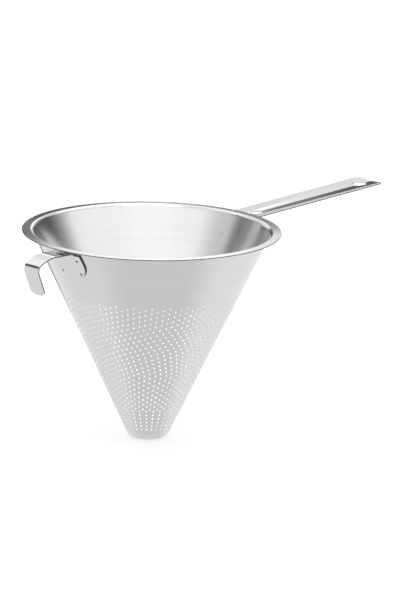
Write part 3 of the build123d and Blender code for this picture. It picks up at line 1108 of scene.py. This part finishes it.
@dataclass
class StripHandle:
    """The handle: a strip creased to a shallow gutter, bent down to a tab on the wall, in millimetres."""

    wall: ConeWall
    sheet: float = 1.2
    length: float = 155.5
    drop: float = 3.6
    tilt_angle: float = 3.3
    half_width: float = 15.0
    corner_radius: float = 5.0
    crease_angle: float = 6.0
    crease_radius: float = 4.0
    lifted_edges: tuple[float, float] = (9.8, 3.4)
    lifted_angle: float = 8.6
    bend_radius: float = 20.0
    tab_length: float = 16.0
    tab_half_width: float = 18.0
    tab_corner_radius: float = 5.0
    tab_shoulder_radius: float = 25.0
    hang_hole_radius: float = 6.2
    hang_hole_inset: float = 13.5
    relief_hole_radius: float = 5.0
    relief_hole_gap: float = 13.3
    rim_width: float = 8.2
    edge: float = 0.25
    welds: WeldRows = field(default_factory=WeldRows)
    # Brushed lengthwise: each wing of the gutter shows one tone, with a light line along the crease.
    finish: SatinSteel = SatinSteel(
        "stainless steel strip, satin brushed lengthwise",
        roughness=0.09,
        scratch_mm=0.5,
        scratch_length_mm=60.0,
        anisotropy=0.35,
    )

    def build(self) -> list[bpy.types.Object]:
        """Makes the handle and its welds.

        Returns:
            Both pieces, dressed.
        """
        wall = self.wall
        along = heading(self.tilt_angle)
        corner = crossing(wall.seat(), wall.up, np.array([wall.mouth_radius, -self.drop]), along)
        turn = math.pi / 2 - wall.half_angle - math.radians(self.tilt_angle)
        setback = self.bend_radius * math.tan(turn / 2)
        tab_top = corner - wall.up * setback
        reach = wall.mouth_radius + self.length
        end = corner + along * ((reach - corner[0]) / along[0])
        path = BentPath([tab_top - wall.up * self.tab_length, corner, end], [self.bend_radius])
        bend_end = self.tab_length + self.bend_radius * turn
        lifted = self.lifted_edges
        crease = (self.crease_angle, self.crease_radius, self.half_width, lifted, self.lifted_angle)
        form = StripForm(path, wall, self.tab_length, bend_end, *crease)
        p, w, t, n = self.tab_length, self.half_width, self.tab_half_width, path.length
        corners = [(0, -t), (p, -t), (bend_end, -w), (n, -w), (n, w), (bend_end, w), (p, t), (0, t)]
        c, s, r = self.tab_corner_radius, self.tab_shoulder_radius, self.corner_radius
        relief = wall.mouth_radius + self.rim_width + self.relief_hole_gap
        hang = reach - self.hang_hole_inset
        holes = []
        for place, radius in ((hang, self.hang_hole_radius), (relief, self.relief_hole_radius)):
            holes.append(((n - (reach - place) / along[0], 0.0), radius))
        holes += self.welds.seats(wall, tab_top, p)
        flank = self.crease_radius * math.sin(math.radians(self.crease_angle))
        far = t + PAST_EDGE
        guides = [((u, -far), (u, far)) for u in path.stations(run_step=6.0, bend_step=4.0)]
        # Lines along the crease's round, and three close together where the lifted edges start.
        lines = [(v, v) for v in (flank / 2, flank, flank * 3)]
        lines += [(w - lifted[0] + step, w - lifted[1] + step) for step in (-0.5, 0.0, 0.5)]
        for start, end in lines:
            for side in (-1, 1):
                guides.append(((-PAST_EDGE, side * start), (bend_end, side * start)))
                guides.append(((bend_end, side * start), (n + PAST_EDGE, side * end)))
        guides.append(((-PAST_EDGE, 0), (n + PAST_EDGE, 0)))
        parts = MeshParts()
        outline = rounded(corners, [c, s, s, r, r, s, s, c])
        # The middle of the handle's edge is painted dark all along, as painted shadow.
        PlanSheet(outline, holes, guides, form.place, self.sheet, self.edge, 0, n).build_into(parts)
        piece = parts.build("strip_handle", [self.finish, EDGE_SHADOW_STEEL])
        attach(piece, "root")
        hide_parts("handle")
        log.info("handle: %d faces", len(piece.data.polygons))
        names = ("handle_weld_buttons", "handle_spot_welds")
        return [piece, self.welds.build(*names, wall, tab_top, p, self.sheet, turned=False)]


@dataclass
class PotHook:
    """The hook for a pot's edge: a strip bent over and down, on a plate on the wall, in millimetres."""

    wall: ConeWall
    sheet: float = 1.5
    drop: float = 3.6
    half_width: float = 9.35
    leg_half_width: float = 8.5
    flat_length: float = 24.7
    slope_length: float = 17.4
    slope_angle: float = 24.0
    leg_length: float = 28.1
    leg_lean_angle: float = 22.7
    root_bend_radius: float = 3.5
    slope_bend_radius: float = 30.0
    leg_bend_radius: float = 7.0
    tip_radius: float = 6.0
    plate_length: float = 24.0
    plate_top_half_width: float = 15.5
    plate_half_width: float = 19.0
    plate_corner_radius: float = 13.0
    shoulder_radius: float = 1.2
    leg_start_radius: float = 30.0
    edge: float = 0.3
    welds: WeldRows = field(default_factory=lambda: WeldRows(spread=21.6, inset=5.5, flat_share=1.008))
    # Bent and brushed: the bends catch the light in bands, and the fine lines run down the leg.
    finish: SatinSteel = SatinSteel(
        "stainless steel strip, bent and satin brushed lengthwise",
        light="#DADBDC",
        dull="#D6D7D8",
        roughness=0.1,
        scratch_mm=0.4,
        scratch_length_mm=40.0,
        anisotropy=0.4,
    )

    def build(self) -> list[bpy.types.Object]:
        """Makes the hook and its welds.

        Returns:
            Both pieces, dressed.
        """
        wall = self.wall
        level = np.array([wall.mouth_radius, -self.drop])
        root = crossing(wall.seat(), wall.up, level, np.array([1.0, 0.0]))
        turn = math.pi / 2 - wall.half_angle
        plate_top = root - wall.up * (self.root_bend_radius * math.tan(turn / 2))
        crest = root + np.array([self.flat_length, 0.0])
        shoulder = crest + heading(-self.slope_angle) * self.slope_length
        tip = shoulder + heading(-90 - self.leg_lean_angle) * self.leg_length
        radii = [self.root_bend_radius, self.slope_bend_radius, self.leg_bend_radius]
        path = BentPath([plate_top - wall.up * self.plate_length, root, crest, shoulder, tip], radii)
        p = self.plate_length
        form = StripForm(path, wall, p, p + self.root_bend_radius * turn, turned=True)
        w, a, b, n = self.half_width, self.plate_top_half_width, self.plate_half_width, path.length
        g, shoulder_at = self.leg_half_width, p + self.flat_length + self.slope_length
        half = [(0, -b), (p, -a), (p, -w), (shoulder_at, -g), (n, -g)]
        corners = half + [(u, -v) for u, v in reversed(half)]
        c, s, r = self.plate_corner_radius, self.shoulder_radius, self.tip_radius
        long = self.leg_start_radius
        outline = rounded(corners, [c, s, s, long, r, r, long, s, s, c])
        holes = self.welds.seats(wall, plate_top, p)
        far = b + PAST_EDGE
        guides = [((u, -far), (u, far)) for u in path.stations(run_step=4.0, bend_step=6.0)]
        # Five lines along the strip and one near each side of the plate, so that no triangle is long.
        for v in (-w * 0.8, -w * 0.4, 0, w * 0.4, w * 0.8):
            guides.append(((-PAST_EDGE, v), (n + PAST_EDGE, v)))
        guides += [((-PAST_EDGE, v), (p, v)) for v in (-a * 0.9, a * 0.9)]
        parts = MeshParts()
        # The plate's whole edge is painted dark as the shadow of the gap beside the wall; the rest only in
        # its middle.
        PlanSheet(outline, holes, guides, form.place, self.sheet, self.edge, p, n).build_into(parts)
        piece = parts.build("pot_hook", [self.finish, EDGE_SHADOW_STEEL])
        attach(piece, "root")
        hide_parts("hook")
        log.info("hook: %d faces", len(piece.data.polygons))
        names = ("hook_weld_buttons", "hook_spot_welds")
        return [piece, self.welds.build(*names, wall, plate_top, p, self.sheet, turned=True)]


# Studio.


def share_toward(tree: Tree, level: Socket, azimuth: float, half_width: float, soft: float) -> Socket:
    """Tells how far a level direction lies within a span of azimuths.

    Args:
        tree: The node tree.
        level: The direction, laid flat, of length one.
        azimuth: The span's middle in degrees from +X.
        half_width: Half the span in degrees.
        soft: How far its ends fade, in degrees to each side.

    Returns:
        One within the span and zero outside it.
    """
    toward = (math.cos(math.radians(azimuth)), math.sin(math.radians(azimuth)), 0)
    along = add_node(tree, "ShaderNodeVectorMath", {"operation": "DOT_PRODUCT", 1: toward}, {0: level})
    clear, full = math.cos(math.radians(half_width + soft)), math.cos(math.radians(half_width - soft))
    ends = {"From Min": clear, "From Max": full}
    return add_node(tree, "ShaderNodeMapRange", ends, {"Value": along.outputs["Value"]}).outputs[0]


@dataclass(frozen=True)
class Card:
    """A reflector or a dark cloth beside the set, or painted light or shade on the table, which the steel
    mirrors as a soft band.

    Attributes:
        azimuth: Its middle's direction in degrees from +X, seen from above.
        half_width: Half its width in degrees.
        low: Its lower edge, in degrees above the horizon, seen from the middle of the mouth. Less than 0
            is on the table.
        high: Its upper edge.
        light: Its light as a share of the plain light behind it.
        soft_sides: How far its sides fade, in degrees.
        soft_edges: How far its lower and upper edges fade.
    """

    azimuth: float
    half_width: float
    low: float
    high: float
    light: float
    soft_sides: float
    soft_edges: float

    def share(self, tree: Tree, level: Socket, height: Socket) -> Socket:
        """Tells what share of the light stays with the card in front of it.

        Args:
            tree: The node tree.
            level: Direction of view, laid flat.
            height: Sine of its rise above the horizon.

        Returns:
            The card's light where it hangs, and one beside it.
        """
        cover = share_toward(tree, level, self.azimuth, self.half_width, self.soft_sides)
        for edge, side in ((self.low, 1), (self.high, -1)):
            clear = math.sin(math.radians(max(-90, edge - side * self.soft_edges)))
            full = math.sin(math.radians(edge + side * self.soft_edges))
            ends = {"From Min": clear, "From Max": full}
            fade = add_node(tree, "ShaderNodeMapRange", ends, {"Value": height}).outputs[0]
            both = {0: cover, 1: fade}
            cover = add_node(tree, "ShaderNodeMath", {"operation": "MULTIPLY"}, both).outputs[0]
        lights = {"To Min": 1.0, "To Max": self.light}
        return add_node(tree, "ShaderNodeMapRange", lights, {"Value": cover}).outputs[0]


@dataclass
class Studio:
    """White table, soft light all round and the camera, which stands at azimuth -134 degrees from +X."""

    azimuth: float = -44.0
    elevation: float = 13.438
    roll: float = 1.201
    distance: float = 10.0
    view_height: float = 0.4985
    centre_right: float = 0.0405
    centre_down: float = 0.0584
    table_size: float = 14.0
    table_height: float = -0.1775
    table_colour: str = "#BABABA"
    glow_to_eye: float = 0.6
    lamps_aim: tuple[float, float, float] = (0.0, 0.0, -0.05)
    cards: tuple[Card, ...] = (
        # A bright one over the camera's side, and a grey one overhead.
        Card(-120.0, 76.0, 22.0, 70.0, 1.12, 16.0, 16.0),
        Card(46.0, 178.0, 68.0, 90.0, 0.5, 2.0, 6.0),
        # Cloths and reflectors beyond the strainer, from the handle's side round to the hook's.
        Card(-4.5, 20.5, -12.0, 32.0, 0.07, 17.0, 10.0),
        Card(20.0, 16.0, -14.0, 7.0, 0.04, 4.0, 3.0),
        Card(139.0, 16.0, 20.0, 36.0, 0.6, 14.0, 3.0),
        Card(108.0, 22.0, 5.0, 27.0, 0.5, 6.0, 3.0),
        Card(115.0, 9.5, 6.0, 26.0, 0.46, 2.0, 3.0),
        Card(73.5, 18.5, -14.0, 8.5, 0.03, 2.5, 1.5),
        Card(122.0, 7.5, 23.5, 37.0, 0.03, 2.0, 1.5),
        Card(125.5, 5.0, 14.0, 23.0, 0.62, 3.0, 2.0),
        Card(75.0, 32.0, 40.0, 62.0, 1.35, 6.0, 5.0),
        # Narrow ones straight opposite the camera.
        Card(56.4, 10.0, 6.5, 12.0, 0.08, 0.7, 0.7),
        Card(56.4, 10.0, 12.0, 16.0, 0.2, 0.7, 0.7),
        Card(43.4, 2.6, 6.5, 12.6, 0.28, 0.5, 0.7),
        Card(34.0, 6.5, 3.0, 18.0, 1.35, 1.0, 1.0),
        Card(46.0, 4.0, -14.0, 4.0, 0.45, 1.0, 2.0),
        Card(46.0, 12.0, 16.8, 22.0, 1.45, 1.0, 0.7),
        # Painted on the table, seen only by the steel: a dark patch beyond the strainer, and painted shade on
        # the camera's and the hook's side.
        Card(60.0, 13.0, -27.0, -2.0, 0.1, 3.0, 2.0),
        Card(-126.0, 50.0, -90.0, -2.0, 0.8, 18.0, 8.0),
        Card(140.0, 45.0, -90.0, -2.0, 0.93, 20.0, 8.0),
    )

    def hang_cards(self, tree: Tree, where: Socket) -> Socket:
        """Puts every card in front of plain white light.

        Args:
            tree: The node tree.
            where: A direction from the middle of the mouth, or a point in that direction.

        Returns:
            The light from there.
        """
        unit = add_node(tree, "ShaderNodeVectorMath", {"operation": "NORMALIZE"}, {0: where}).outputs[0]
        height = add_node(tree, "ShaderNodeSeparateXYZ", None, {0: unit}).outputs["Z"]
        level = laid_flat(tree, where)
        tone = self.cards[0].share(tree, level, height)
        for card in self.cards[1:]:
            share = card.share(tree, level, height)
            tone = add_node(tree, "ShaderNodeMath", {"operation": "MULTIPLY"}, {0: share, 1: tone}).outputs[0]
        return tone

    def build_camera(self) -> None:
        """Places the camera as the photograph's was."""
        a, e, roll = (math.radians(x) for x in (self.azimuth, self.elevation, self.roll))
        back = Vector((math.sin(a) * math.cos(e), -math.cos(a) * math.cos(e), math.sin(e)))
        level = Vector((math.cos(a), math.sin(a), 0))
        upright = back.cross(level)
        right = level * math.cos(roll) + upright * math.sin(roll)
        up = upright * math.cos(roll) - level * math.sin(roll)
        centre = right * self.centre_right - up * self.centre_down
        data = bpy.data.cameras.new("camera")
        data.sensor_width = SENSOR_WIDTH_MM
        data.lens = SENSOR_WIDTH_MM * self.distance / self.view_height
        camera = add_object("camera", data)
        place = centre + back * self.distance
        camera.matrix_world = Matrix(
            (
                (right.x, up.x, back.x, place.x),
                (right.y, up.y, back.y, place.y),
                (right.z, up.z, back.z, place.z),
                (0, 0, 0, 1),
            )
        )
        bpy.context.scene.camera = camera

    def build_table(self) -> None:
        """Lays the table under the tip: white with a soft shadow to the eye, and to the steel painted light
        and shade from the cards.
        """
        half = self.table_size / 2
        mesh = bpy.data.meshes.new("table")
        square = ((-half, -half), (half, -half), (half, half), (-half, half))
        mesh.from_pydata([(x, y, self.table_height) for x, y in square], [], [(0, 1, 2, 3)])
        table = add_object("table", mesh)
        material = bpy.data.materials.new("white table, matt laminate")
        tree = empty_tree(material)
        path = add_node(tree, "ShaderNodeLightPath")
        matt = add_node(tree, "ShaderNodeBsdfDiffuse", {"Color": linear(self.table_colour)})
        to_eye = add_node(tree, "ShaderNodeEmission", {"Color": (1, 1, 1, 1), "Strength": self.glow_to_eye})
        lit = add_node(tree, "ShaderNodeAddShader", None, {0: matt.outputs[0], 1: to_eye.outputs[0]})
        where = add_node(tree, "ShaderNodeTexCoord").outputs["Object"]
        cards = self.hang_cards(tree, where)
        # For glossy rays the table glows with the cards' painted light and shade, which the steel reflects.
        painted_reflection = add_node(tree, "ShaderNodeEmission", {"Strength": 1.0}, {"Color": cards})
        links = {0: path.outputs["Is Glossy Ray"], 1: lit.outputs[0], 2: painted_reflection.outputs[0]}
        mixed = add_node(tree, "ShaderNodeMixShader", None, links)
        add_node(tree, "ShaderNodeOutputMaterial", None, {"Surface": mixed.outputs[0]})
        mesh.materials.append(material)

    def build_world(self) -> None:
        """Wraps the scene in white: pure to the eye, and with the cards to the steel."""
        world = bpy.data.worlds.new("studio light")
        bpy.context.scene.world = world
        tree = empty_tree(world)
        path = add_node(tree, "ShaderNodeLightPath")
        where = add_node(tree, "ShaderNodeTexCoord").outputs["Generated"]
        cards = self.hang_cards(tree, where)
        set_light = add_node(tree, "ShaderNodeBackground", {"Strength": 1.0}, {"Color": cards})
        white = add_node(tree, "ShaderNodeBackground", {"Color": (1, 1, 1, 1), "Strength": 1.0})
        links = {0: path.outputs["Is Camera Ray"], 1: set_light.outputs[0], 2: white.outputs[0]}
        mixed = add_node(tree, "ShaderNodeMixShader", None, links)
        add_node(tree, "ShaderNodeOutputWorld", None, {"Surface": mixed.outputs[0]})

    def add_lamp(
        self, name: str, place: tuple[float, float, float], size: tuple[float, float], power: float
    ) -> None:
        """Adds a soft box that looks at the strainer.

        Args:
            name: The lamp's name.
            place: Its place in metres.
            size: Its width and height in metres.
            power: Its power in watts.
        """
        data = bpy.data.lights.new(name, "AREA")
        data.shape = "RECTANGLE"
        data.size, data.size_y = size
        data.energy = power
        lamp = add_object(name, data)
        lamp.location = place
        lamp.rotation_euler = (Vector(place) - Vector(self.lamps_aim)).to_track_quat("Z", "Y").to_euler()

    def build(self) -> None:
        """Sets up the whole studio."""
        bpy.context.scene.view_settings.view_transform = "Standard"
        self.build_camera()
        self.build_table()
        self.build_world()
        self.add_lamp("soft box behind", place=(1.1, 0.5, 1.7), size=(1.2, 1.2), power=5)
        self.add_lamp("soft box overhead", place=(-0.27, -0.28, 1.55), size=(0.9, 0.9), power=5.4)
        log.info("studio ready")


def main() -> None:
    """Builds the strainer piece by piece, then the studio."""
    logging.basicConfig(level=logging.INFO, format="%(name)s: %(message)s")
    wall = ConeWall()
    PerforatedCone(wall).build()
    StripHandle(wall).build()
    PotHook(wall).build()
    Studio().build()


if __name__ == "__main__":
    main()
